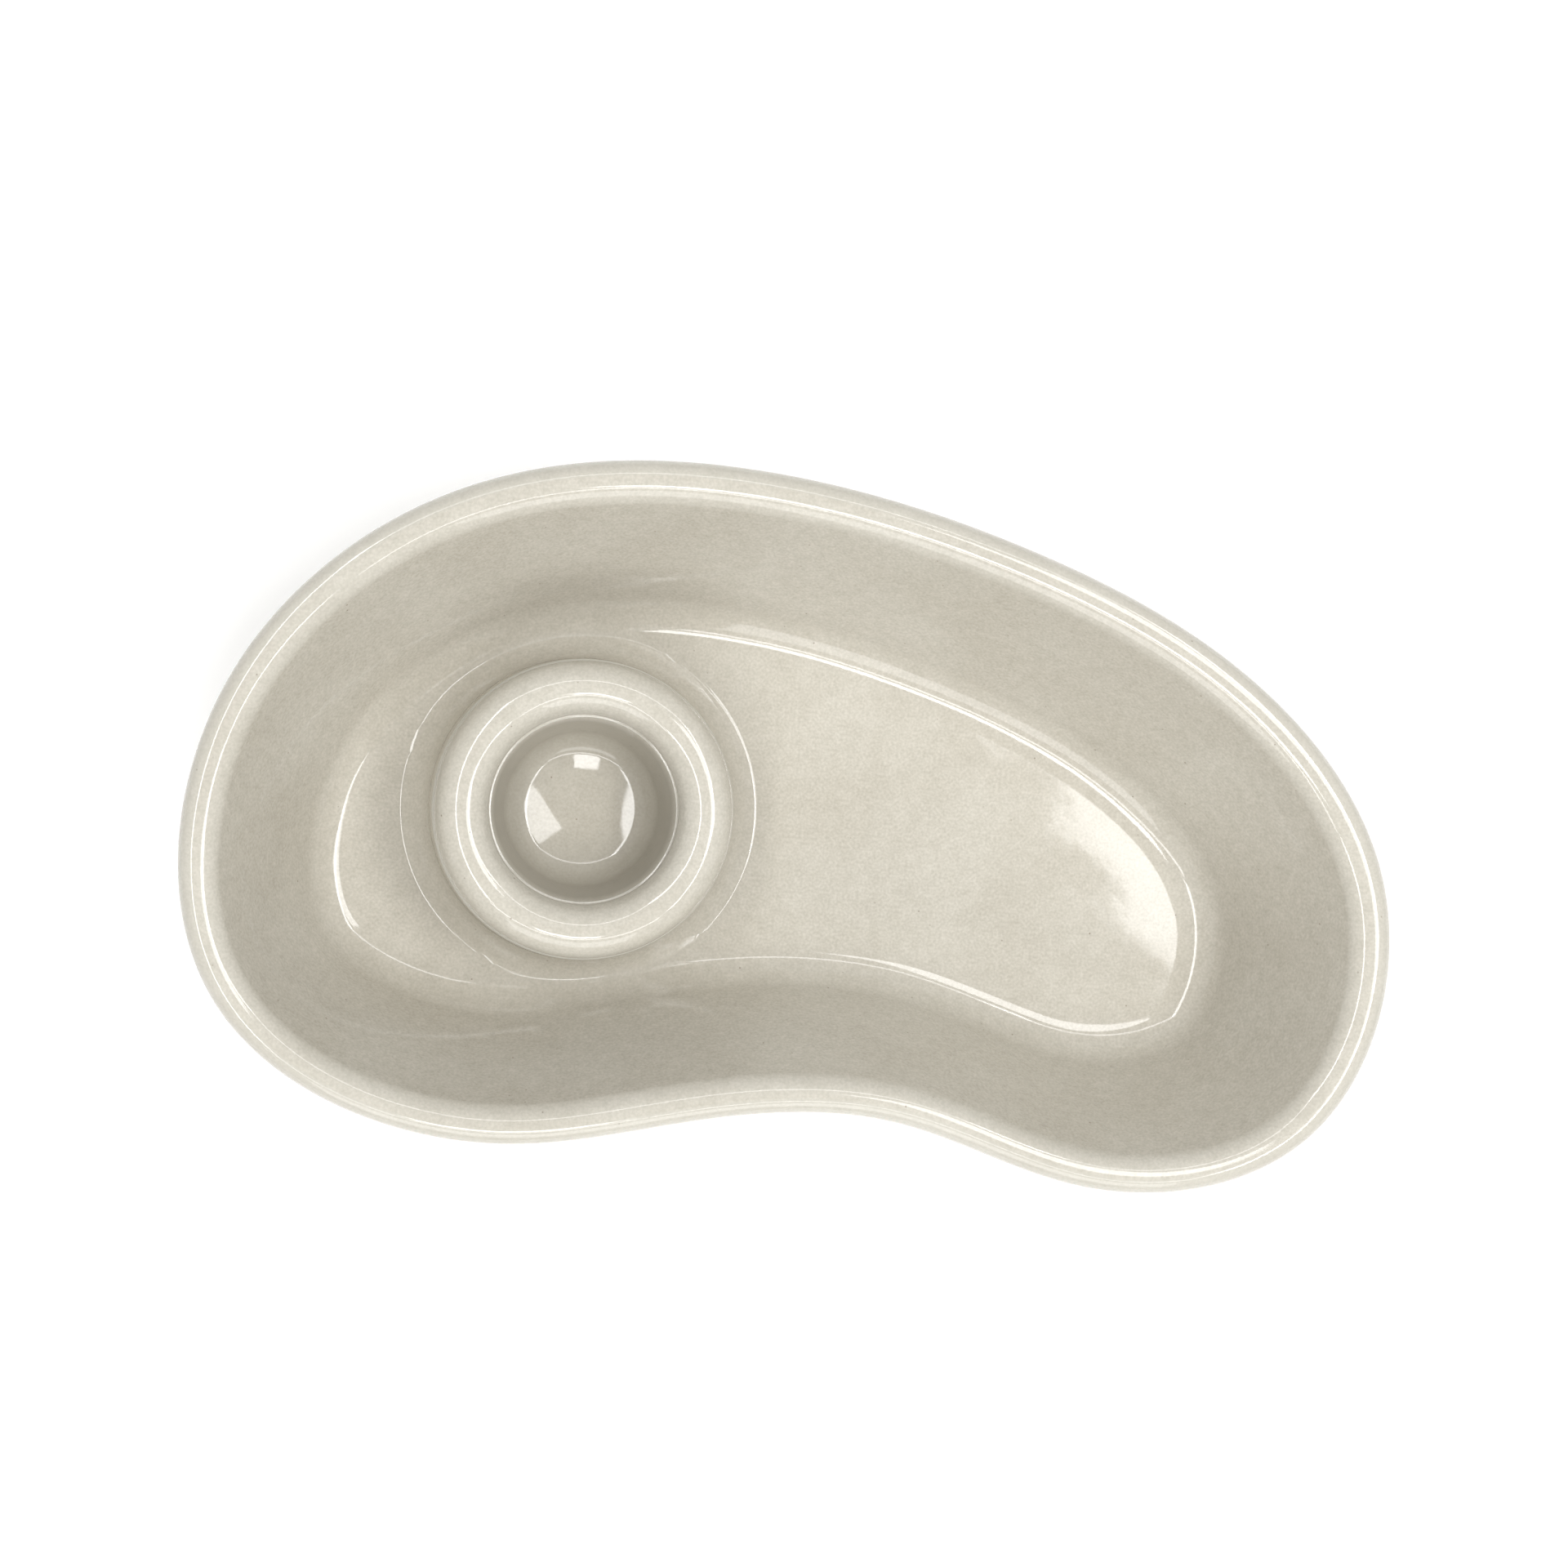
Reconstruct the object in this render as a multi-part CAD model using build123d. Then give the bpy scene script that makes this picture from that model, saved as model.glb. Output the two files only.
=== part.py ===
"""Kidney-shaped dish of glazed stoneware with a lift-out round cup.

Millimetres.  +Z is up and the dish stands on z = 0.  X runs along the dish's
length and Y across it, and the origin is under the middle of the dish's box.
Two fired pieces are modelled:

  kidney_dish   one clay body: sloping wall, rolled rim, level floor, and a
                collar in the broad lobe that takes the cup
  inner_cup     a small thick cup with a broad rolled lip, which stands on its
                own foot inside the collar and lifts straight out
"""
from build123d import *
import math
import os

import numpy as np

# ---------------------------------------------------------------- overall sizes
LENGTH = 250.0              # over the rim, along X
WIDTH = 141.0               # over the rim, along Y
HEIGHT = 50.0               # foot to the crest of the rim

# ---------------------------------------------------------------- dish section
RIM_OVERHANG = 4.1          # how far the bead stands out past the wall under it
RIM_DEPTH = 7.2             # height of the bead that rolls outwards
RIM_ROUND = 3.4             # bead's outer rounding, above and below
RIM_INNER_ROUND = 4.2       # softer rounding from the crest into the wall
RIM_CREST = 1.0             # least width left level between those two roundings
NECK_ROUND = 0.9            # hollow where the bead meets the outer wall
WALL_SLOPE = 66.0           # degrees from level, inside and outside alike
WALL = 6.3                  # wall thickness, measured level
FLOOR = 5.0                 # clay between the floor and the foot's recess
FOOT_RECESS = 1.0           # depth of the recess inside the foot ring
FOOT_RING = 7.0             # width of the ring that the dish stands on
FOOT_ROUND = 5.0            # outer wall into the foot
FLOOR_ROUND = 10.0          # inner wall into the floor
FLOOR_DRIFT = (-1.1, -1.4)  # how far off the rim's middle the floor lies

# Closed outline of the rim, anticlockwise from the middle of the toe's end, as
# shares of half the length and half the width.  The broad lobe is at -X, the
# toe at +X and the waist at -Y.
OUTLINE = [
    (0.986, -0.078), (0.738, 0.514), (0.351, 0.836), (-0.109, 0.995),
    (-0.578, 0.878), (-0.965, 0.166), (-0.923, -0.654), (-0.452, -0.999),
    (-0.134, -0.889), (0.198, -0.851), (0.510, -0.993), (0.888, -0.799),
]

# ---------------------------------------------------------------- cup
CUP_FROM_HEEL = 80.4        # heel's end of the rim to the axis of cup and collar
CUP_Y = -1.8                # that axis across the dish
CUP_HEIGHT = 32.0           # its foot to the crest of its lip
CUP_TOP_RADIUS = 24.6       # outside of the cup under its lip
CUP_TAPER = 3.6             # how much smaller that radius is at the foot
LIP_ROUND = 4.9             # roll of the lip, outside and inside
LIP_HANG = 7.6              # crest down to the lip's underside
LIP_EDGE_ROUND = 1.2        # lower outer edge of the lip, and the neck under it
CUP_FOOT_ROUND = 2.0
CUP_FOOT_RING = 5.0         # width of the ring that the cup stands on
CUP_FOOT_RECESS = 0.8
CUP_BASE = 5.5              # clay under the middle of the well
WELL_MOUTH = 20.5           # the well's wall carried up to the crest of the lip
WELL_RADIUS = 12.4          # edge of the well's dished floor
WELL_SAG = 1.7              # how far that floor is dished
WELL_ROUND = 2.4            # crease between the floor and the well's wall
CREASE_RUN = 1.7            # edge of the floor to the corner that the crease rounds

# ---------------------------------------------------------------- collar
CUP_GAP = 0.6               # air between the cup's side and the collar
SEAM_GAP = 0.4              # air between the lip's underside and the collar
COLLAR_WALL = 6.2           # the collar's thickness at its top
COLLAR_LEDGE = 0.5          # how far its top shows outside the cup's lip
COLLAR_SHOULDER = 1.4       # rounding of the top outer edge
COLLAR_LEAN = 3.0           # degrees that the outside leans out going down
FLARE_ROUND = 8.0           # sweep from the collar's side into the floor
FLARE_END = 12.0            # degrees from level where that sweep runs out
KEY_DEPTH = 0.5             # how far the collar's foot reaches into the floor
CUT_PAST = 2.0              # how far a cut runs on past the face that it opens

# ---------------------------------------------------------------- levels that follow
FLOOR_Z = FOOT_RECESS + FLOOR
RUN = 1.0 / math.tan(math.radians(WALL_SLOPE))
NECK_Z = HEIGHT - RIM_DEPTH
RIM_BAND = RIM_OVERHANG + WALL - RIM_DEPTH * RUN
FLOOR_INSET = RIM_BAND + (HEIGHT - FLOOR_Z) * RUN
FOOT_INSET = RIM_BAND + HEIGHT * RUN - WALL
FOOT_TANGENT = FOOT_ROUND * math.tan(math.radians(WALL_SLOPE / 2))
CUP_X = CUP_FROM_HEEL - LENGTH / 2
CUP_TOP_Z = FLOOR_Z + CUP_HEIGHT
LIP_UNDER_Z = CUP_TOP_Z - LIP_HANG
CUP_FOOT_RADIUS = CUP_TOP_RADIUS - CUP_TAPER
COLLAR_TOP_Z = LIP_UNDER_Z - SEAM_GAP
COLLAR_OUTER = CUP_TOP_RADIUS + CUP_GAP + COLLAR_WALL
LIP_OUTER = COLLAR_OUTER - COLLAR_LEDGE


def closed_spline(points, level):
    """Smooth closed cubic through points at a level.

    The slopes at the points make curvature run on without a step all round,
    with the chord between two points as the parameter between them.
    """
    here = np.array(points)
    after = np.roll(here, -1, axis=0) - here
    chord = np.hypot(after[:, 0], after[:, 1])
    before_chord = np.roll(chord, 1)
    count = len(here)
    matrix = np.zeros((count, count))
    for i in range(count):
        matrix[i, i - 1] = chord[i]
        matrix[i, i] = 2 * (chord[i] + before_chord[i])
        matrix[i, (i + 1) % count] = before_chord[i]
    rate = after / chord[:, None]
    pull = 3 * (chord[:, None] * np.roll(rate, 1, axis=0) + before_chord[:, None] * rate)
    slopes = np.linalg.solve(matrix, pull)
    curve = Edge.make_spline(
        [Vector(float(x), float(y), level) for x, y in here],
        tangents=[Vector(float(x), float(y)) for x, y in slopes],
        parameters=[0.0, *(float(run) for run in np.cumsum(chord))],
        periodic=True,
        scale=False,
    )
    return curve, slopes


def outline(inset, level):
    """Wire of the rim's outline moved inwards by inset, at a level.

    Each point moves square to the rim, and takes its share of the floor's drift.
    """
    rim = np.array(OUTLINE) * (LENGTH / 2, WIDTH / 2)
    slopes = closed_spline(rim, 0.0)[1]
    inward = np.column_stack([-slopes[:, 1], slopes[:, 0]])
    inward /= np.hypot(inward[:, 0], inward[:, 1])[:, None]
    drift = np.array(FLOOR_DRIFT) * inset / FLOOR_INSET
    return Wire([closed_spline(rim + inset * inward + drift, level)[0]])


def tapered(low_inset, low_z, high_inset, high_z):
    """Kidney-shaped solid whose straight side joins two outlines."""
    return Solid.make_loft([outline(low_inset, low_z), outline(high_inset, high_z)], ruled=True)


def edges_at(solid, level):
    """Edges of a solid that lie wholly at one level."""
    boxes = [(edge, edge.bounding_box()) for edge in solid.edges()]
    return [edge for edge, box in boxes
            if abs(box.min.Z - level) < 0.01 and abs(box.max.Z - level) < 0.01]


def shortest(edges):
    """The inner one of two loops that run side by side."""
    return min(edges, key=lambda edge: edge.length)


def turned(corners, closing=()):
    """Solid turned about the cup's axis from corners of (radius, z, rounding).

    closing holds further edges that run from the last corner to the first.
    """
    points = [(radius, 0, z) for radius, z, _ in corners]
    rounds = [rounding for _, _, rounding in corners]
    if closing:
        side = FilletPolyline(*points, radius=rounds[1:-1])
        profile = Wire([*side.edges(), *closing])
    else:
        profile = Wire(FilletPolyline(*points, radius=rounds, close=True).edges())
    solid = Solid.revolve(Face(profile), 360, Axis((0, 0, 0), (0, 0, 1)))
    return solid.moved(Location((CUP_X, CUP_Y, 0)))


def make_shell():
    """The dish without its collar, and the plain outside form that its wall is cut from."""
    form = tapered(FOOT_INSET, 0, RIM_OVERHANG, NECK_Z)
    form = form.fillet(FOOT_ROUND, edges_at(form, 0))
    bead = Solid.extrude(Face(outline(0, NECK_Z)), Vector(0, 0, RIM_DEPTH))
    bead = bead.fillet(RIM_ROUND, edges_at(bead, NECK_Z) + edges_at(bead, HEIGHT))
    body = form.fuse(bead).solid()
    body = body.fillet(NECK_ROUND, [shortest(edges_at(body, NECK_Z))])

    hollow = tapered(FLOOR_INSET, FLOOR_Z, RIM_BAND - CUT_PAST * RUN, HEIGHT + CUT_PAST)
    hollow = hollow.fillet(FLOOR_ROUND, edges_at(hollow, FLOOR_Z))
    body = body.cut(hollow).solid()
    room = (RIM_BAND - RIM_ROUND - RIM_CREST) / math.tan(math.radians(WALL_SLOPE / 2))
    body = body.fillet(min(RIM_INNER_ROUND, room), [shortest(edges_at(body, HEIGHT))])

    ring_inset = FOOT_INSET + FOOT_TANGENT + FOOT_RING
    recess = Solid.extrude(Face(outline(ring_inset, 0)), Vector(0, 0, FOOT_RECESS))
    return body.cut(recess).solid(), form


def make_collar():
    """Ring with a flared foot that the cup drops into."""
    lean = math.tan(math.radians(COLLAR_LEAN))
    steep = math.radians(90.0 - COLLAR_LEAN)
    shallow = math.radians(FLARE_END)
    sweep_z = FLOOR_Z + FLARE_ROUND * math.cos(shallow)
    side_end_z = sweep_z - FLARE_ROUND * math.cos(steep)
    side_end = COLLAR_OUTER + (COLLAR_TOP_Z - side_end_z) * lean
    sweep_radius = side_end + FLARE_ROUND * math.sin(steep)
    corner_run = FLARE_ROUND * math.tan((steep - shallow) / 2)
    corner = side_end + corner_run * math.cos(steep)
    corner_z = side_end_z - corner_run * math.sin(steep)
    foot = sweep_radius - FLARE_ROUND * math.sin(shallow) + KEY_DEPTH / math.tan(shallow)

    cup_flare = (CUP_TOP_RADIUS - CUP_FOOT_RADIUS) / (LIP_UNDER_Z - FLOOR_Z)
    key_z = FLOOR_Z - KEY_DEPTH
    bore_low = CUP_FOOT_RADIUS + CUP_GAP - KEY_DEPTH * cup_flare
    bore_high = CUP_FOOT_RADIUS + CUP_GAP + (COLLAR_TOP_Z - FLOOR_Z) * cup_flare
    return turned([
        (bore_low, key_z, 0),
        (foot, key_z, 0),
        (corner, corner_z, FLARE_ROUND),
        (COLLAR_OUTER, COLLAR_TOP_Z, COLLAR_SHOULDER),
        (bore_high, COLLAR_TOP_Z, COLLAR_SHOULDER / 2),
    ])


def make_cup():
    """Thick cup with a rolled lip outside and a dished well inside."""
    ring_inner = CUP_FOOT_RADIUS - CUP_FOOT_ROUND - CUP_FOOT_RING
    recess_z = FLOOR_Z + CUP_FOOT_RECESS
    well_z = FLOOR_Z + CUP_BASE
    edge_z = well_z + WELL_SAG
    rise = 2 * math.atan(WELL_SAG / WELL_RADIUS)
    crease_radius = WELL_RADIUS + CREASE_RUN * math.cos(rise)
    crease_z = edge_z + CREASE_RUN * math.sin(rise)

    dish_radius = (WELL_RADIUS ** 2 + WELL_SAG ** 2) / (2 * WELL_SAG)
    half_rise = rise / 2
    dish_mid = (dish_radius * math.sin(half_rise), 0,
                well_z + dish_radius * (1 - math.cos(half_rise)))
    well_floor = ThreePointArc((WELL_RADIUS, 0, edge_z), dish_mid, (0, 0, well_z))
    axis_line = Edge.make_line((0, 0, well_z), (0, 0, recess_z))
    return turned([
        (0, recess_z, 0),
        (ring_inner, recess_z, CUP_FOOT_RECESS / 2),
        (ring_inner, FLOOR_Z, CUP_FOOT_RECESS / 4),
        (CUP_FOOT_RADIUS, FLOOR_Z, CUP_FOOT_ROUND),
        (CUP_TOP_RADIUS, LIP_UNDER_Z, LIP_EDGE_ROUND),
        (LIP_OUTER, LIP_UNDER_Z, LIP_EDGE_ROUND),
        (LIP_OUTER, CUP_TOP_Z, LIP_ROUND),
        (WELL_MOUTH, CUP_TOP_Z, LIP_ROUND),
        (crease_radius, crease_z, WELL_ROUND),
        (WELL_RADIUS, edge_z, 0),
    ], closing=(well_floor.edge(), axis_line))


def make_dish():
    """Shell and collar as one clay body, with the collar's flare kept inside the outer wall."""
    shell, form = make_shell()
    collar = make_collar().intersect(form).solid()
    return shell.fuse(collar).solid()


def save(node, solid):
    """Write one piece to parts/NODE.step and print its size."""
    solid.label = node
    export_step(solid, f"parts/{node}.step")
    size = solid.bounding_box().size
    print(f"{node}: {solid.volume / 1000:.1f} cm3, "
          f"{size.X:.1f} x {size.Y:.1f} x {size.Z:.1f} mm, valid {solid.is_valid}")


os.makedirs("parts", exist_ok=True)
save("kidney_dish", make_dish())
save("inner_cup", make_cup())
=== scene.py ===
# %% [markdown]
# # A kidney-shaped dish with a lift-out cup
#
# The real object is two pieces of glazed stoneware. The dish is one clay body with a rolled rim, a
# sloping wall, a level floor and a flared collar. The small thick cup stands inside that collar.
#
# Everything here is a smooth fired surface, and nothing on it is flat or straight for long. Such a
# surface could be sculpted, or cut from boxes and rounded with modifiers. Here each piece is one
# grid of points worked out with numpy instead: a section is drawn once and carried round a curve,
# so every round keeps its true radius and the gloss runs over it without a dent.

import math

import bpy
import numpy as np
from mathutils import Matrix, Vector


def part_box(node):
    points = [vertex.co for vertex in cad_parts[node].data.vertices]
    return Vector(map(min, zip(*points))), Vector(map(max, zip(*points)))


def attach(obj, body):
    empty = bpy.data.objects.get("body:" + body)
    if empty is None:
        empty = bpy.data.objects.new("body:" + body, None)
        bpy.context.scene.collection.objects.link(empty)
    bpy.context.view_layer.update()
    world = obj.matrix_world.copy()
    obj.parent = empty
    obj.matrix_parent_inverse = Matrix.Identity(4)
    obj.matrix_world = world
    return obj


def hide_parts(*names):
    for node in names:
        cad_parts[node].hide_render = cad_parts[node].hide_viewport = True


MM = 0.001                      # the shapes are worked out in millimetres and stored in metres

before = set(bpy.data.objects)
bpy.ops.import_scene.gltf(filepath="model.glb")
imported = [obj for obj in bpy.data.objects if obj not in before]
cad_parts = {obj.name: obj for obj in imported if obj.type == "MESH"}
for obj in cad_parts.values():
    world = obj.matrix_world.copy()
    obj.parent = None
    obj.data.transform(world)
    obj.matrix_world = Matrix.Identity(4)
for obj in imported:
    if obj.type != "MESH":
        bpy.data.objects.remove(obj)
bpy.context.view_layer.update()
dish_low, dish_high = (np.array(corner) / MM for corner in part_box("kidney_dish"))
cup_low, cup_high = (np.array(corner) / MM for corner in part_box("inner_cup"))
print("dish", np.round(dish_high - dish_low, 2), "mm; cup", np.round(cup_high - cup_low, 2), "mm")

# %% [markdown]
# ## The section of the dish
#
# A thrown or cast wall is described by its section: what a saw cut across it would show. The rim is
# a bead that rolls outwards, the wall slopes at one angle inside and outside, and a wide round
# carries it into the floor. The sizes are set here once. Those of the whole object are read from
# the frame, so that the surface fills exactly the space that the frame gives it.

# %% Sizes in millimetres
HEIGHT = dish_high[2]
FLOOR_Z = cup_low[2]            # the cup stands on the dish's floor
CUP_AXIS = (cup_low[:2] + cup_high[:2]) / 2
LIP_OUTER = (cup_high[0] - cup_low[0]) / 2
CUP_TOP_Z = cup_high[2]

WALL_SLOPE = 66.0               # degrees from level
WALL = 6.3
RIM_OVERHANG = 4.1
RIM_DEPTH = 7.2
RIM_ROUND = 3.4
RIM_INNER_ROUND = 5.5
NECK_ROUND = 0.9
FLOOR_ROUND = 10.0
FLOOR_DRIFT = (-1.1, -1.4)      # how far off the rim's middle the floor lies
FLOOR_LEAD = 0.4                # level floor past its round that still belongs to the wall's rows
FOOT_ROUND = 5.0
FOOT_RING = 7.0
FOOT_RECESS = 1.0
FOOT_EDGE = 0.4                 # small rounds on both sides of the foot ring's inner edge
RECESS_LEAD = 2.0               # level recess inside the ring that belongs to the wall's rows

RUN = 1 / math.tan(math.radians(WALL_SLOPE))
RIM_BAND = RIM_OVERHANG + WALL - RIM_DEPTH * RUN
FLOOR_INSET = RIM_BAND + (HEIGHT - FLOOR_Z) * RUN
FOOT_INSET = RIM_BAND + HEIGHT * RUN - WALL
FLOOR_EDGE = FLOOR_INSET + FLOOR_ROUND * math.tan(math.radians(WALL_SLOPE / 2))
RING_INSET = FOOT_INSET + FOOT_ROUND * math.tan(math.radians(WALL_SLOPE / 2)) + FOOT_RING
print(f"rim band {RIM_BAND:.2f}, floor {FLOOR_INSET:.2f} and foot {FOOT_INSET:.2f} in from the rim")

# %% [markdown]
# ## Paths with true rounds
#
# A section is easiest to write as a few corners, each with the radius that rounds it off. The
# helper below turns such a list into points: the straight runs stay straight, and each corner
# becomes an arc that meets both runs without a kink.


# %% Helper: a path from its corners
def rounded_path(corners, reach=2.5):
    """Points of a path through corners of (across, up, radius, steps).

    An arc begins radius x tan(turn / 2) before its corner. Its points are the start, plus
    radius x sin(a) along the run that comes in, plus radius x (1 - cos(a)) towards the inside of
    the turn, for angles a from nothing to the whole turn. Runs longer than reach are divided.
    """
    pieces = [np.array([corners[0][:2]])]
    for before, here, after in zip(corners, corners[1:], corners[2:]):
        a, b, c = (np.array(corner[:2], float) for corner in (before, here, after))
        into, out = (b - a) / np.hypot(*(b - a)), (c - b) / np.hypot(*(c - b))
        turn = math.atan2(into[0] * out[1] - into[1] * out[0], into @ out)
        side = np.array([-into[1], into[0]]) * math.copysign(1, turn)
        radius, steps = here[2:]
        angle = np.linspace(0, abs(turn), steps)[:, None]
        start = b - into * radius * math.tan(abs(turn) / 2)
        pieces.append(start + radius * (np.sin(angle) * into + (1 - np.cos(angle)) * side))
    points = np.vstack([*pieces, [corners[-1][:2]]])
    runs = np.hypot(*np.diff(points, axis=0).T)
    counts = np.maximum(1, np.ceil(runs / reach)).astype(int)
    place = np.concatenate([i + np.arange(n) / n for i, n in enumerate(counts)] + [[len(runs)]])
    return np.column_stack([np.interp(place, np.arange(len(points)), points[:, k]) for k in (0, 1)])


wall_path = rounded_path([
    (RING_INSET + RECESS_LEAD, FOOT_RECESS, 0, 1),
    (RING_INSET, FOOT_RECESS, FOOT_EDGE, 4),
    (RING_INSET, 0, FOOT_EDGE, 4),
    (FOOT_INSET, 0, FOOT_ROUND, 12),
    (RIM_OVERHANG, HEIGHT - RIM_DEPTH, NECK_ROUND, 6),
    (0, HEIGHT - RIM_DEPTH, RIM_ROUND, 12),
    (0, HEIGHT, RIM_ROUND, 14),
    (RIM_BAND, HEIGHT, RIM_INNER_ROUND, 14),
    (FLOOR_INSET, FLOOR_Z, FLOOR_ROUND, 22),
    (FLOOR_EDGE + FLOOR_LEAD, FLOOR_Z, 0, 1),
])
print(len(wall_path), "rows from the foot over the rim to the floor")

# %% [markdown]
# ## The outline of the rim
#
# Seen from above the rim is a kidney: a broad lobe, a narrower toe and a shallow waist. Circular
# arcs would leave steps in its curvature, and a glossy rim shows each of them as a kink in its
# highlight. So the outline is a closed cubic spline through twelve points, with the slopes at the
# points solved together, which makes the curvature run on evenly all the way round.

# %% The closed outline
OUTLINE = np.array([            # shares of half the length and half the width
    (0.986, -0.078), (0.738, 0.514), (0.351, 0.836), (-0.109, 0.995),
    (-0.578, 0.878), (-0.965, 0.166), (-0.923, -0.654), (-0.452, -0.999),
    (-0.134, -0.889), (0.198, -0.851), (0.510, -0.993), (0.888, -0.799),
])


def closed_spline(points):
    """Returns a function of distance along the chords that gives place and slope on the curve.

    Between two points each coordinate is the cubic with the given ends and end slopes. The slopes
    solve one linear equation per point: second derivatives agree on both sides of it.
    """
    ahead = np.roll(points, -1, axis=0) - points
    chord = np.hypot(*ahead.T)
    behind = np.roll(chord, 1)
    rate = ahead / chord[:, None]
    unit = np.eye(len(points))
    matrix = 2 * np.diag(chord + behind)
    matrix += (chord[:, None] * np.roll(unit, -1, axis=1)
               + behind[:, None] * np.roll(unit, 1, axis=1))
    pull = 3 * (chord[:, None] * np.roll(rate, 1, axis=0) + behind[:, None] * rate)
    slopes = np.linalg.solve(matrix, pull)
    knots = np.concatenate([[0], np.cumsum(chord)])

    def at(distance):
        span = np.clip(np.searchsorted(knots, distance, side="right") - 1, 0, len(points) - 1)
        length = chord[span][:, None]
        t = (distance - knots[span])[:, None] / length
        p, q = points[span], np.roll(points, -1, axis=0)[span]
        u, v = slopes[span] * length, np.roll(slopes, -1, axis=0)[span] * length
        place = (1 + 2 * t) * (1 - t) ** 2 * p + t * (1 - t) ** 2 * u
        place += t * t * (3 - 2 * t) * q + t * t * (t - 1) * v
        slope = 6 * t * (t - 1) * (p - q) + (1 - t) * (1 - 3 * t) * u + t * (3 * t - 2) * v
        return place, slope

    return at, knots[-1]


half_size = (dish_high - dish_low)[:2] / 2
middle = (dish_high + dish_low)[:2] / 2
curve, perimeter = closed_spline(OUTLINE * half_size)
print(f"twelve points, {perimeter:.0f} mm along their chords")

# %% [markdown]
# Every row of the dish is this outline moved inwards. The move is square to the rim, which keeps
# the band of the rim and the wall equally wide all round, and the floor also lies a little off the
# middle. The columns of the grid are shared out half by length along the rim and half by the angle
# seen from the cup, because the same columns later close in to the small circle of the collar.

# %% Columns of the grid
COLUMNS = 420
TRIES = 6000                    # places on the outline tried while the columns are shared out


def moved_in(distance, inset):
    """Plan points at those distances along the outline, for one inset or a column of insets.

    A point is the place on the rim, plus inset x the unit vector square to its slope, plus the
    floor's drift in proportion to the inset. The rim is first stretched to fill the frame's box.
    """
    place, slope = curve(distance)
    place = (place - outline_middle) * outline_stretch + middle
    inward = np.column_stack([-slope[:, 1], slope[:, 0]])
    inward /= np.hypot(*inward.T)[:, None]
    inset = np.atleast_1d(inset)[:, None, None]
    return place + inset * inward + np.array(FLOOR_DRIFT) * inset / FLOOR_INSET


tried = np.linspace(0, perimeter, TRIES, endpoint=False)
rim_points = curve(tried)[0]
outline_middle = (rim_points.max(0) + rim_points.min(0)) / 2
outline_stretch = 2 * half_size / (rim_points.max(0) - rim_points.min(0))
floor_points = moved_in(tried, wall_path[-1, 0])[0] - CUP_AXIS
length_share = np.hypot(*np.diff(rim_points, axis=0, append=rim_points[:1]).T)
angle_share = np.diff(np.unwrap(np.arctan2(floor_points[:, 1], floor_points[:, 0])), append=np.nan)
angle_share[-1] = 2 * math.pi - angle_share[:-1].sum()
share = length_share / length_share.sum() + angle_share / angle_share.sum()
filled = np.concatenate([[0], np.cumsum(share)]) / share.sum()
columns = np.interp(np.arange(COLUMNS) / COLUMNS, filled, np.append(tried, perimeter))
print(f"rim {length_share.sum():.0f} mm round; "
      f"smallest step of angle {np.degrees(angle_share.min()):.4f} degrees")

# %% [markdown]
# ## The collar
#
# The cup drops into a collar whose foot sweeps out into the floor like the skirt of a bell. In
# section it is one more path. Where the skirt ends, the clay was wiped flat, which leaves a faint
# ring that catches the light, so that last corner gets a small round of its own instead of being
# smoothed away.

# %% The collar's section
CUP_TOP_RADIUS = 24.6
CUP_FOOT_RADIUS = 21.0
LIP_HANG = 7.6
CUP_GAP = 0.6
SEAM_GAP = 0.8
COLLAR_LEDGE = 0.5
COLLAR_SHOULDER = 0.7
COLLAR_LEAN = 3.0               # degrees
FLARE_ROUND = 9.2
FLARE_END = 19.0                # degrees from level where the sweep meets the floor
FLARE_EASE = 1.0                # the sweep's round is this much smaller, to leave room for the ring
RING_ROUND = 3.2
SOCKET_ROUND = 0.8
COLLAR_BASE = 33.0              # radius where rows stop following the kidney and become circles
FLOOR_REACH = 41.0              # radius just past the sweep
POLE_RADIUS = 2.0               # the last row round an axis; a fan of triangles closes it

lip_under_z = CUP_TOP_Z - LIP_HANG
collar_top_z = lip_under_z - SEAM_GAP
collar_outer = LIP_OUTER + COLLAR_LEDGE
lean, steep = math.tan(math.radians(COLLAR_LEAN)), math.radians(90 - COLLAR_LEAN)
shallow = math.radians(FLARE_END)
side_end_z = FLOOR_Z + FLARE_ROUND * (math.cos(shallow) - math.cos(steep))
side_end = collar_outer + (collar_top_z - side_end_z) * lean
corner_run = FLARE_ROUND * math.tan((steep - shallow) / 2)
flare_foot = side_end + FLARE_ROUND * (math.sin(steep) - math.sin(shallow))
bore_top = CUP_FOOT_RADIUS + CUP_GAP
bore_top += (CUP_TOP_RADIUS - CUP_FOOT_RADIUS) * (collar_top_z - FLOOR_Z) / (lip_under_z - FLOOR_Z)

collar_path = rounded_path([
    (FLOOR_REACH, FLOOR_Z, 0, 1),
    (flare_foot, FLOOR_Z, RING_ROUND, 9),
    (side_end + corner_run * math.cos(steep), side_end_z - corner_run * math.sin(steep),
     FLARE_ROUND - FLARE_EASE, 30),
    (collar_outer, collar_top_z, COLLAR_SHOULDER, 10),
    (bore_top, collar_top_z, COLLAR_SHOULDER / 2, 6),
    (CUP_FOOT_RADIUS + CUP_GAP, FLOOR_Z, SOCKET_ROUND, 5),
    (POLE_RADIUS, FLOOR_Z, 0, 1),
], reach=2.2)


def flare_height(radius):
    """Height of the collar's sweep above the floor at a radius, read off its section."""
    rising = collar_path[:np.argmax(collar_path[:, 1])]
    return np.interp(radius, rising[::-1, 0], rising[::-1, 1]) - FLOOR_Z


print(f"collar {collar_outer:.1f} outside at z {collar_top_z:.1f}, "
      f"its skirt ends at radius {flare_foot:.1f}")

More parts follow.
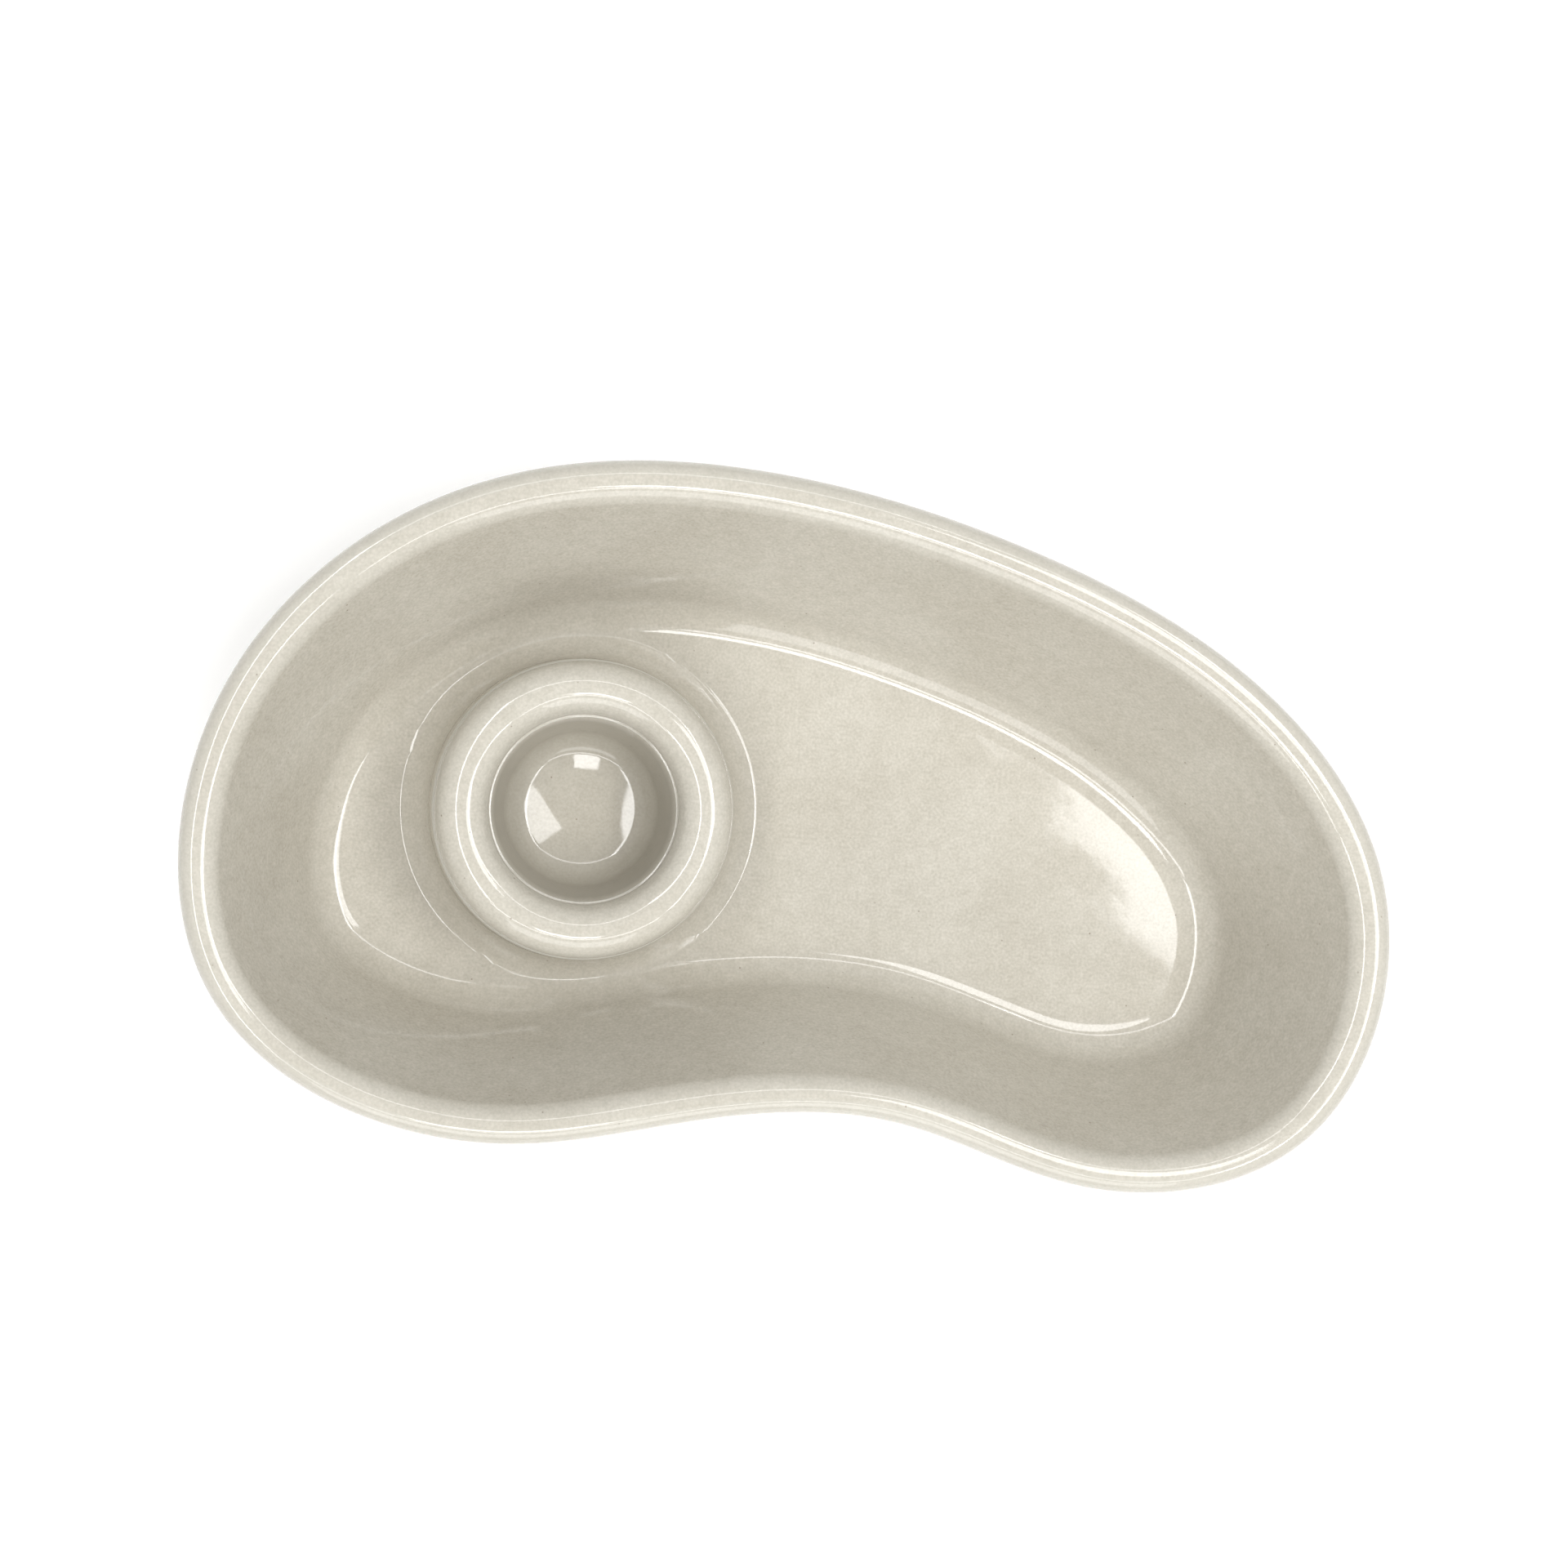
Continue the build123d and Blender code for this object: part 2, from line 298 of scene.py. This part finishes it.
# %% [markdown]
# ## One surface for the dish
#
# The dish could be joined from a wall, a floor and a collar, but joins show in a gloss. It is one
# closed grid instead. Its rows start at a pole under the cup, run out under the foot, up the
# outside, over the rim, down the inside, across the floor, up the collar, and down the bore to a
# second pole. In the broad lobe the wall's round and the collar's sweep run into each other. There
# the height is the root of the two squared heights added, which equals either one alone and flows
# from one to the other between them.

# %% The rows of the dish
UNDER_ROWS = 4
FLOOR_ROWS = 12
SKIRT_START = 0.75              # share of the way out from COLLAR_BASE where its rows begin
NEARLY = 1e-6                   # a height this close to the crest counts as the crest
RIPPLE = 0.05                   # how far a fired floor wanders up and down
RIPPLE_FADE = 6.0               # it dies out over this height, and this near to the collar
RIPPLES = [(0.19, 0.11, 0.4), (-0.13, 0.23, 1.9), (0.31, -0.07, 3.1), (0.05, 0.37, 5.2)]


def ripple(x, y):
    """Gentle unevenness: the mean of a few sine waves that cross each other, in millimetres."""
    return RIPPLE * sum(np.sin(a * x + b * y + c) for a, b, c in RIPPLES) / len(RIPPLES)


def axis_radius(points):
    """Distance of plan points from the cup's axis."""
    return np.hypot(*np.moveaxis(points - CUP_AXIS, 2, 0))


def lerp(a, b, share):
    """Rows from a to b, one for each share of the way."""
    return a + (b - a) * np.asarray(share)[:, None, None]


wall_plan = moved_in(columns, wall_path[:, 0])
wall_z = np.broadcast_to(wall_path[:, 1:], wall_plan.shape[:2]).copy()
crest = np.argmax(wall_path[:, 1] > HEIGHT - NEARLY)
skirt_rise = flare_height(axis_radius(wall_plan)[crest:])
wall_z[crest:] = FLOOR_Z + np.hypot(wall_z[crest:] - FLOOR_Z, skirt_rise)

under_plan = lerp(np.broadcast_to(CUP_AXIS, wall_plan[0].shape), wall_plan[0],
                  np.arange(1, UNDER_ROWS + 1) / (UNDER_ROWS + 1))
under_z = np.full(under_plan.shape[:2], FOOT_RECESS)

edge = wall_plan[-1] - CUP_AXIS
edge_radius = np.hypot(*edge.T)
heading = edge / edge_radius[:, None]
skirt_radius = COLLAR_BASE + SKIRT_START * (edge_radius - COLLAR_BASE)
skirt_radius = np.minimum(FLOOR_REACH, skirt_radius)
floor_plan = lerp(wall_plan[-1], CUP_AXIS + heading * skirt_radius[:, None],
                  np.linspace(0, 1, FLOOR_ROWS + 2)[1:-1])
floor_z = FLOOR_Z + flare_height(axis_radius(floor_plan))

base_row = np.argmax(collar_path[:, 0] < COLLAR_BASE)
skirt_share = (collar_path[:base_row, 0] - COLLAR_BASE) / (FLOOR_REACH - COLLAR_BASE)
collar_radius = COLLAR_BASE + skirt_share[:, None] * (skirt_radius - COLLAR_BASE)
skirt_z = FLOOR_Z + flare_height(collar_radius)
ring_radius = np.broadcast_to(collar_path[base_row:, :1], (len(collar_path) - base_row, COLUMNS))
collar_radius = np.vstack([collar_radius, ring_radius])
collar_z = np.vstack([skirt_z, np.broadcast_to(collar_path[base_row:, 1:], ring_radius.shape)])
collar_plan = CUP_AXIS + heading * collar_radius[..., None]

plan = np.concatenate([under_plan, wall_plan, floor_plan, collar_plan])
height = np.concatenate([under_z, wall_z, floor_z, collar_z])
inside = np.arange(len(height)) >= UNDER_ROWS + crest
unevenness = np.exp(-((height - FLOOR_Z) / RIPPLE_FADE) ** 2) * inside[:, None]
unevenness *= np.clip((axis_radius(plan) - collar_outer) / RIPPLE_FADE, 0, 1)
height = height + unevenness * ripple(plan[..., 0], plan[..., 1])
dish_grid = np.concatenate([plan, height[..., None]], axis=2)
print("dish grid", dish_grid.shape[:2], "rows and columns")

# %% [markdown]
# ## From grid to mesh
#
# A grid that closes on itself has no border: the last column meets the first, and at both ends the
# rows shrink to one point. The helper also stores how sharply the surface bends outwards along its
# section. Glaze runs thin over such edges while it is molten, and the finish reads that number
# later; it also darkens the hollows with it as painted shade.


# %% Helper: a closed surface
TINY = 1e-9                     # added to lengths that are divided by, which may be nothing


def closed_surface(name, grid, first_pole, last_pole):
    """Mesh of a grid of rows and columns, in millimetres, that closes at a pole at both ends.

    Each face joins a column to the next in two neighbouring rows, counted so that it points out.
    The edge value is the turn of the section at a row, per millimetre, as an angle that is
    positive on outward rounds.
    """
    rows, around = grid.shape[:2]
    points = np.vstack([grid.reshape(-1, 3), [first_pole], [last_pole]]) * MM
    index = np.arange(rows * around).reshape(rows, around)
    across = np.roll(index, -1, axis=1)
    quads = np.stack([index[:-1], across[:-1], across[1:], index[1:]], axis=2).reshape(-1, 4)
    first = np.column_stack([np.full(around, len(points) - 2), across[0], index[0]])
    last = np.column_stack([index[-1], across[-1], np.full(around, len(points) - 1)])
    mesh = bpy.data.meshes.new(name)
    mesh.from_pydata(points.tolist(), [], quads.tolist() + first.tolist() + last.tolist())
    mesh.shade_smooth()

    closed = np.concatenate([grid[:1], grid, grid[-1:]])
    step = np.diff(closed, axis=0)
    length = np.linalg.norm(step, axis=2) + TINY
    along = step / length[..., None]
    round_way = np.roll(grid, -1, axis=1) - np.roll(grid, 1, axis=1)
    outward = np.cross(round_way, along[:-1] + along[1:])
    outward /= np.linalg.norm(outward, axis=2)[..., None] + TINY
    bend = -np.sum((along[1:] - along[:-1]) * outward, axis=2) / ((length[1:] + length[:-1]) / 2)
    bend[[0, -1]] = 0
    edge_value = np.append(bend.ravel(), [0, 0]).astype(np.float32)
    mesh.attributes.new("edge", "FLOAT", "POINT").data.foreach_set("value", edge_value)

    piece = bpy.data.objects.new(name, mesh)
    bpy.context.scene.collection.objects.link(piece)
    print(f"{name}: {len(points)} points, {2 * len(quads) + 2 * around} triangles, "
          f"bend {bend.min():.2f} to {bend.max():.2f} per mm")
    return piece


dish = closed_surface("glazed_dish", dish_grid,
                      (*CUP_AXIS, FOOT_RECESS), (*CUP_AXIS, FLOOR_Z))
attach(dish, "dish")
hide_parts("kidney_dish")

# %% [markdown]
# ## The cup
#
# The cup is turned, so its section is carried round a circle. Its lip is a fat roll that hangs over
# the collar outside and hides the seam. Inside it rolls down to a narrow ledge, and from the
# ledge's fine edge the wall of the well goes down and rounds into a shallow floor. Inside the well
# the cream is darkened as painted shade, most of all on the steep wall and less on the floor. How
# dark it is made is stored on the points of the cup, and the finish reads it later.

# %% The cup's section
CUP_FOOT_ROUND = 2.0
CUP_FOOT_RING = 5.0
CUP_FOOT_RECESS = 0.8
CUP_FOOT_EDGE = CUP_FOOT_RECESS / 3
CUP_BASE = 5.5                  # clay under the middle of the well
LIP_ROUND = 5.5
LIP_EDGE_ROUND = 1.2
MOUTH = 19.7                    # radius where the lip's roll ends on a small ledge
MOUTH_DROP = 6.2                # that ledge below the crest
MOUTH_CORNER = 0.15             # round between the roll and the ledge
MOUTH_STEP = 0.5                # the ledge's width
MOUTH_FALL = 0.1                # how much the ledge slopes down to its inner edge
MOUTH_EDGE = 0.2                # round of that edge
WELL_RADIUS = 9.6               # of the well's dished floor
WELL_SAG = 1.0                  # how far that floor sinks towards its middle
WELL_ROUND = 6.5                # round between the floor and the well's wall
CREASE_RUN = 6.2                # from the floor's edge out to the corner that is rounded
WELL_ROWS = 16
CUP_COLUMNS = 320

well_z = FLOOR_Z + CUP_BASE
well_slope = 2 * WELL_SAG / WELL_RADIUS
crease = np.array([1, well_slope]) / math.hypot(1, well_slope) * CREASE_RUN
ring_inner = CUP_FOOT_RADIUS - CUP_FOOT_ROUND - CUP_FOOT_RING
mouth_z = CUP_TOP_Z - MOUTH_DROP
cup_path = rounded_path([
    (POLE_RADIUS, FLOOR_Z + CUP_FOOT_RECESS, 0, 1),
    (ring_inner, FLOOR_Z + CUP_FOOT_RECESS, CUP_FOOT_EDGE, 4),
    (ring_inner, FLOOR_Z, CUP_FOOT_EDGE, 4),
    (CUP_FOOT_RADIUS, FLOOR_Z, CUP_FOOT_ROUND, 8),
    (CUP_TOP_RADIUS, lip_under_z, LIP_EDGE_ROUND, 6),
    (LIP_OUTER, lip_under_z, LIP_EDGE_ROUND, 8),
    (LIP_OUTER, CUP_TOP_Z, LIP_ROUND, 22),
    (MOUTH, CUP_TOP_Z, LIP_ROUND, 22),
    (MOUTH, mouth_z, MOUTH_CORNER, 4),
    (MOUTH - MOUTH_STEP, mouth_z - MOUTH_FALL, MOUTH_EDGE, 7),
    (WELL_RADIUS + crease[0], well_z + WELL_SAG + crease[1], WELL_ROUND, 16),
    (WELL_RADIUS, well_z + WELL_SAG, 0, 1),
], reach=2.0)
well_radius = np.linspace(WELL_RADIUS, 0, WELL_ROWS, endpoint=False)[1:]
well_floor = np.column_stack([well_radius, well_z + WELL_SAG * (well_radius / WELL_RADIUS) ** 2])
cup_path = np.vstack([cup_path, well_floor])

angle = np.linspace(0, 2 * math.pi, CUP_COLUMNS, endpoint=False)
circle = np.column_stack([np.cos(angle), np.sin(angle)])
cup_plan = CUP_AXIS + circle * cup_path[:, :1, None]
cup_z = np.broadcast_to(cup_path[:, 1:, None], (len(cup_path), CUP_COLUMNS, 1))
cup = closed_surface("glazed_cup", np.concatenate([cup_plan, cup_z], axis=2),
                     (*CUP_AXIS, FLOOR_Z + CUP_FOOT_RECESS), (*CUP_AXIS, well_z))
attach(cup, "cup")
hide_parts("inner_cup")

# %% Painted shade in the well: how far the cream is darkened at each height
WELL_SHADE_RISE = 7.0                 # above the well's floor, where the tone is three quarters deep
WELL_SHADE_FADE = 4.0                 # it fades over this height below the ledge
WELL_SHADE_SHARES = [0.30, 0.75, 1, 0]

well_shade_heights = [well_z, well_z + WELL_SHADE_RISE, mouth_z - WELL_SHADE_FADE, mouth_z]
well_shade_share = np.interp(cup_path[:, 1], well_shade_heights, WELL_SHADE_SHARES)
well_shade_share *= np.arange(len(cup_path)) > np.argmax(cup_path[:, 1])
well_shade_value = np.append(np.repeat(well_shade_share, CUP_COLUMNS), [0, well_shade_share[-1]])
well_shade_layer = cup.data.attributes.new("painted_well_shade", "FLOAT", "POINT")
well_shade_layer.data.foreach_set("value", well_shade_value.astype(np.float32))
print(f"tone {well_shade_value[-1]:.2f} deep on the well's floor, {well_shade_value.max():.2f} on its wall")

# %% [markdown]
# ## The glaze
#
# A cream stoneware glaze is a thin layer of glass over a pale, slightly sandy clay. Up close it is
# never one colour: iron in the clay breaks through as pin-sized specks, the cream drifts a little
# from place to place, and it is paler where it ran thin over an edge. Painted shade darkens it in
# the hollows and down the well. Its skin is smooth but has the faint orange peel of molten glass.
# A painted image could be laid on, but worked-out patterns have no seams and stay sharp at any
# distance. The foot ring was wiped clean before firing, so it shows the bare clay.


# %% Helpers for materials
def shader(tree, kind, **values):
    """A node with its sockets set; a value that is a socket is linked instead.

    Names in small letters are the node's own settings. In0 and In1 are sockets by number, and
    every other name is a socket's own, with _ for a space.
    """
    made = tree.nodes.new(kind)
    for name, value in values.items():
        if hasattr(made, name) and not name[0].isupper():
            setattr(made, name, value)
            continue
        numbered = name.startswith("In") and name[2:].isdigit()
        socket = made.inputs[int(name[2:]) if numbered else name.replace("_", " ")]
        if isinstance(value, bpy.types.NodeSocket):
            tree.links.new(value, socket)
        else:
            socket.default_value = value
    return made


def mixed(tree, share, a, b, blend_type="MIX"):
    """Colour socket that goes from a to b, by sockets 0 (share), 6 (a) and 7 (b) of a Mix node."""
    made = shader(tree, "ShaderNodeMix", data_type="RGBA", blend_type=blend_type)
    for socket, value in ((0, share), (6, a), (7, b)):
        if isinstance(value, bpy.types.NodeSocket):
            tree.links.new(value, made.inputs[socket])
        else:
            made.inputs[socket].default_value = value
    return made.outputs[2]


def ramp(tree, value, low, high, out_low=0.0, out_high=1.0):
    """Value socket that rises evenly between low and high, and is held outside them."""
    return shader(tree, "ShaderNodeMapRange", Value=value, From_Min=low, From_Max=high,
                  To_Min=out_low, To_Max=out_high).outputs[0]


def noise(tree, place, size, detail=2.0):
    """Noise whose blobs are about size millimetres across, from 0 to 1."""
    return shader(tree, "ShaderNodeTexNoise", Vector=place, Scale=1 / (size * MM),
                  Detail=detail).outputs["Fac"]


# %% Colours of the glaze and the clay
CREAM = (0.503, 0.479, 0.418, 1)
CREAM_DEEP = (0.460, 0.433, 0.371, 1)
CREAM_THIN = (0.500, 0.484, 0.430, 1)
# painted shade: the dark tone that the cream inside the well is pulled towards
CREAM_WELL_SHADE = (0.340, 0.316, 0.262, 1)
GRAIN_DARK = (0.91, 0.905, 0.895, 1)         # grain and mottle multiply the cream
GRAIN_LIGHT = (1.09, 1.09, 1.095, 1)
MOTTLE_DARK = (0.955, 0.952, 0.943, 1)
MOTTLE_LIGHT = (1.045, 1.045, 1.047, 1)
IRON = (0.20, 0.165, 0.125, 1)
BARE_CLAY = (0.58, 0.49, 0.375, 1)
CLAY_SHADE = 0.86               # its darker grains are this much of its colour
clay_dark = tuple(CLAY_SHADE * part for part in BARE_CLAY[:3]) + (1,)
print("cream", CREAM[:3], "over clay", BARE_CLAY[:3])

# %% Sizes and strengths of the patterns
DRIFT_SIZE = 26.0               # millimetres across one patch of each pattern
GRAIN_SIZE = 0.6
MOTTLE_SIZE = 2.4
GLOSS_SIZE = 7.0
PEEL_SIZE = 3.2
WIPE_SIZE = 3.0
NOISE_LOW = 0.30                # nearly all of a noise's values lie between these two
NOISE_HIGH = 0.70
THIN_FROM = 0.08                # bend per millimetre at which glaze starts to run thin
THIN_TO = 0.45
THIN_SHARE = 0.75
HOLLOW_FROM = -0.25             # bend of a hollow that gets the full painted shade
HOLLOW_TO = -0.02
HOLLOW_SHADE_SHARE = 0.35
SPECK_CELL = 3.2                # one chance of a speck in each cell of this size
SPECK_SIZE = 0.06               # its radius as a share of the cell
SPECK_CORE = 0.6                # it is full inside this share of its radius
SPECK_HALO = 1.4                # and gone outside this one
SPECK_FROM = 0.55               # cells with a chance below this have no speck
SPECK_TO = 0.95
SPECK_SHARE = 0.75
FOOT_WIPE = 0.22                # how high above its foot the clay was wiped bare
WIPE_WOBBLE = 0.05              # how far that line wanders up and down
WIPE_BAND = 0.08                # height over which clay turns to glaze
GLOSS_FINE = 0.05               # roughness where the glaze is at its smoothest
GLOSS_DULL = 0.08
CLAY_ROUGHNESS = 0.85
PEEL_DEPTH = 0.009
GRAIN_DEPTH = 0.0006
GLASS_IOR = 1.52
print(f"grain {GRAIN_SIZE} mm, mottle {MOTTLE_SIZE} mm, drift {DRIFT_SIZE} mm")


# %% The cream glaze
def glaze(name, foot_z):
    """Glossy cream glaze over stoneware, bare below FOOT_WIPE above that piece's own foot."""
    material = bpy.data.materials.new(name)
    material.use_nodes = True
    tree = material.node_tree
    tree.nodes.clear()
    place = shader(tree, "ShaderNodeTexCoord").outputs["Object"]
    up = shader(tree, "ShaderNodeSeparateXYZ", Vector=place).outputs["Z"]
    edge_value = shader(tree, "ShaderNodeAttribute", attribute_name="edge").outputs["Fac"]

    drift = ramp(tree, noise(tree, place, DRIFT_SIZE, 3), NOISE_LOW, NOISE_HIGH)
    grain = ramp(tree, noise(tree, place, GRAIN_SIZE, 3), NOISE_LOW, NOISE_HIGH)
    mottle = ramp(tree, noise(tree, place, MOTTLE_SIZE, 4), NOISE_LOW, NOISE_HIGH)
    cream = mixed(tree, drift, CREAM_DEEP, CREAM)
    grainy = mixed(tree, grain, GRAIN_DARK, GRAIN_LIGHT)
    mottled = mixed(tree, mottle, MOTTLE_DARK, MOTTLE_LIGHT)
    cream = mixed(tree, 1.0, cream, grainy, "MULTIPLY")
    cream = mixed(tree, 1.0, cream, mottled, "MULTIPLY")
    thin = ramp(tree, edge_value, THIN_FROM, THIN_TO, 0, THIN_SHARE)
    cream = mixed(tree, thin, cream, CREAM_THIN)
    # painted shade: hollows in the surface are darkened towards the deeper cream
    hollow_shade = ramp(tree, edge_value, HOLLOW_FROM, HOLLOW_TO, HOLLOW_SHADE_SHARE, 0)
    cream = mixed(tree, hollow_shade, cream, CREAM_DEEP)
    # painted shade in the well: the cup's points carry how far the cream is darkened there
    painted_well_shade = shader(tree, "ShaderNodeAttribute", attribute_name="painted_well_shade").outputs["Fac"]
    cream = mixed(tree, painted_well_shade, cream, CREAM_WELL_SHADE)

    cells = shader(tree, "ShaderNodeTexVoronoi", Vector=place, Scale=1 / (SPECK_CELL * MM))
    chance = shader(tree, "ShaderNodeSeparateColor", Color=cells.outputs["Color"]).outputs["Red"]
    dot = ramp(tree, cells.outputs["Distance"],
               SPECK_SIZE * SPECK_CORE, SPECK_SIZE * SPECK_HALO, 1, 0)
    chosen = ramp(tree, chance, SPECK_FROM, SPECK_TO, 0, SPECK_SHARE)
    speck = shader(tree, "ShaderNodeMath", operation="MULTIPLY", In0=dot, In1=chosen).outputs[0]
    cream = mixed(tree, speck, cream, IRON)

    wobble = ramp(tree, noise(tree, place, WIPE_SIZE), 0, 1, -WIPE_WOBBLE * MM, WIPE_WOBBLE * MM)
    level = shader(tree, "ShaderNodeMath", operation="ADD", In0=up, In1=wobble).outputs[0]
    wipe_z = foot_z + FOOT_WIPE
    bare = ramp(tree, level, wipe_z * MM, (wipe_z + WIPE_BAND) * MM, 1, 0)
    clay = mixed(tree, grain, clay_dark, BARE_CLAY)
    colour = mixed(tree, bare, cream, clay)

    gloss = ramp(tree, noise(tree, place, GLOSS_SIZE, 3), NOISE_LOW, NOISE_HIGH,
                 GLOSS_FINE, GLOSS_DULL)
    rough = shader(tree, "ShaderNodeMix", data_type="FLOAT", Factor=bare, A=gloss,
                   B=CLAY_ROUGHNESS)
    peel = shader(tree, "ShaderNodeBump", Height=noise(tree, place, PEEL_SIZE, 1),
                  Distance=PEEL_DEPTH * MM, Strength=1.0)
    skin = shader(tree, "ShaderNodeBump", Height=grain, Distance=GRAIN_DEPTH * MM, Strength=1.0,
                  Normal=peel.outputs["Normal"])
    body = shader(tree, "ShaderNodeBsdfPrincipled", Base_Color=colour, IOR=GLASS_IOR,
                  Roughness=rough.outputs[0], Normal=skin.outputs["Normal"])
    shader(tree, "ShaderNodeOutputMaterial", Surface=body.outputs["BSDF"])
    return material


dish.data.materials.append(glaze("cream_glaze_dish", 0.0))
cup.data.materials.append(glaze("cream_glaze_cup", FLOOR_Z))
print("cream glaze on", dish.name, "and", cup.name)

# %% [markdown]
# ## The floor of the studio
#
# A pale sheet, large enough to fill the view from above. Seen from low down, its far part is grey,
# because the lamps don't reach it. It is a little off white and slightly rough, as card is, and it
# also lights the outside of the dish from below. A faint glow of its own keeps it nearly white
# round the dish.

# %% Floor
FLOOR_SIZE = 9.0                # metres from the middle to an edge
FLOOR_DROP = 0.00005            # metres below the foot, so that the two share no plane
CARD_DARK = (0.90, 0.90, 0.90, 1)
CARD_LIGHT = (0.93, 0.93, 0.925, 1)
CARD_FLECK = 1.2                # millimetres across one fleck
CARD_ROUGHNESS = 0.7
CARD_SHINE = 0.2
CARD_GLOW = 0.12
WHITE = (1.0, 1.0, 1.0, 1)

sheet = bpy.data.meshes.new("studio_floor")
corners = [(-1, -1), (1, -1), (1, 1), (-1, 1)]
sheet.from_pydata([(x * FLOOR_SIZE, y * FLOOR_SIZE, -FLOOR_DROP) for x, y in corners], [],
                  [(0, 1, 2, 3)])
floor = bpy.data.objects.new("studio_floor", sheet)
bpy.context.scene.collection.objects.link(floor)

card = bpy.data.materials.new("white_card")
card.use_nodes = True
card_tree = card.node_tree
card_shader = card_tree.nodes["Principled BSDF"]
card_place = shader(card_tree, "ShaderNodeTexCoord").outputs["Object"]
card_flecks = noise(card_tree, card_place, CARD_FLECK, 3)
card_tone = mixed(card_tree, card_flecks, CARD_DARK, CARD_LIGHT)
card_tree.links.new(card_tone, card_shader.inputs["Base Color"])
card_shader.inputs["Roughness"].default_value = CARD_ROUGHNESS
card_shader.inputs["Specular IOR Level"].default_value = CARD_SHINE
card_shader.inputs["Emission Color"].default_value = WHITE
card_shader.inputs["Emission Strength"].default_value = CARD_GLOW
sheet.materials.append(card)
print("floor sheet", 2 * FLOOR_SIZE, "m square")

# %% [markdown]
# ## Light
#
# Gloss shows lights as shapes, so the lamps are placed for what they draw on the glaze. A plain
# bright room gives the soft shading. Four long strips, one on each side, draw the fine lines round
# the rim, the lip and the skirt of the collar. A panel over the toe lies on the floor of the dish
# as a pale sheen, a wide panel further out in front lifts the far wall, and a small lamp in front
# of the cup makes the bright spot in its well.

# %% World and lamps
ROOM = 0.50
LAMP_POWER = 4                  # watts per square metre of lamp at a brightness of one
LAMP_AIM = Vector((0, 0, 0.03))  # metres; every lamp faces this point
LAMPS = [                       # name, place, width, depth (metres), brightness, turn in degrees
    ("left_strip", (-0.43, 0.0, 1.0), 0.10, 1.00, 8.5, 0.0),
    ("right_strip", (0.50, 0.0, 1.0), 0.09, 1.00, 8.5, 0.0),
    ("back_strip", (0.0, 0.50, 1.0), 1.00, 0.07, 4.5, 0.0),
    ("front_strip", (0.0, -0.60, 1.0), 1.00, 0.07, 6.0, 0.0),
    ("toe_panel", (0.385, 0.085, 1.0), 0.26, 0.46, 6.0, 37.0),
    ("front_panel", (0.0, -1.60, 1.1), 1.6, 0.8, 2.0, 0.0),
    ("front_lamp", (-0.02, -0.43, 1.0), 0.22, 0.12, 9.0, 0.0),
]

world = bpy.data.worlds.new("bright_room")
bpy.context.scene.world = world
world.use_nodes = True
room = world.node_tree.nodes["Background"]
room.inputs["Color"].default_value = WHITE
room.inputs["Strength"].default_value = ROOM

for name, place, width, depth, brightness, turn in LAMPS:
    lamp = bpy.data.lights.new(name, "AREA")
    lamp.shape = "RECTANGLE"
    lamp.size, lamp.size_y = width, depth
    lamp.energy = brightness * LAMP_POWER * width * depth
    lamp.color = WHITE[:3]
    holder = bpy.data.objects.new(name, lamp)
    away = (Vector(place) - LAMP_AIM).normalized()
    across = Vector((0, 1, 0)).cross(away).normalized()
    lamp_axes = Matrix((across, away.cross(across), away)).transposed().to_4x4()
    holder.matrix_world = (Matrix.Translation(place) @ lamp_axes
                           @ Matrix.Rotation(math.radians(turn), 4, "Z"))
    holder.visible_camera = False
    bpy.context.scene.collection.objects.link(holder)
print(len(LAMPS), "lamps in a room of brightness", ROOM)

# %% [markdown]
# ## Camera
#
# The dish is seen almost straight down, from a little to the left of its middle, near enough that
# the inner walls open out towards the edges of the view.

# %% Camera
LENS = 64.0
SENSOR = 36.0
CLIP_NEAR = 0.01                # metres
CLIP_FAR = 20
AIM = np.array([-5.1, 7.1, 46.6])          # millimetres, in the plane of the rim's widest line
CAMERA_RISE = 565.0             # of the camera above that point
CAMERA_LEAN = 6.4               # degrees towards the broad lobe
ROLL = 5.2                      # degrees that the dish is turned in the view

camera_data = bpy.data.cameras.new("camera")
camera_data.lens, camera_data.sensor_width = LENS, SENSOR
camera_data.clip_start, camera_data.clip_end = CLIP_NEAR, CLIP_FAR
camera = bpy.data.objects.new("camera", camera_data)
bpy.context.scene.collection.objects.link(camera)
bpy.context.scene.camera = camera

roll = math.radians(ROLL)
view_right = Vector((math.cos(roll), math.sin(roll), 0))
back = Vector((0, 0, 1)) - view_right * math.tan(math.radians(CAMERA_LEAN))
eye = Vector(AIM) + back * CAMERA_RISE
back.normalize()
view_up = back.cross(view_right).normalized()
axes = Matrix((view_up.cross(back), view_up, back)).transposed().to_4x4()
camera.matrix_world = Matrix.Translation(eye * MM) @ axes
print("camera at", [round(x, 4) for x in camera.matrix_world.translation])

bpy.context.scene.view_settings.view_transform = "Standard"
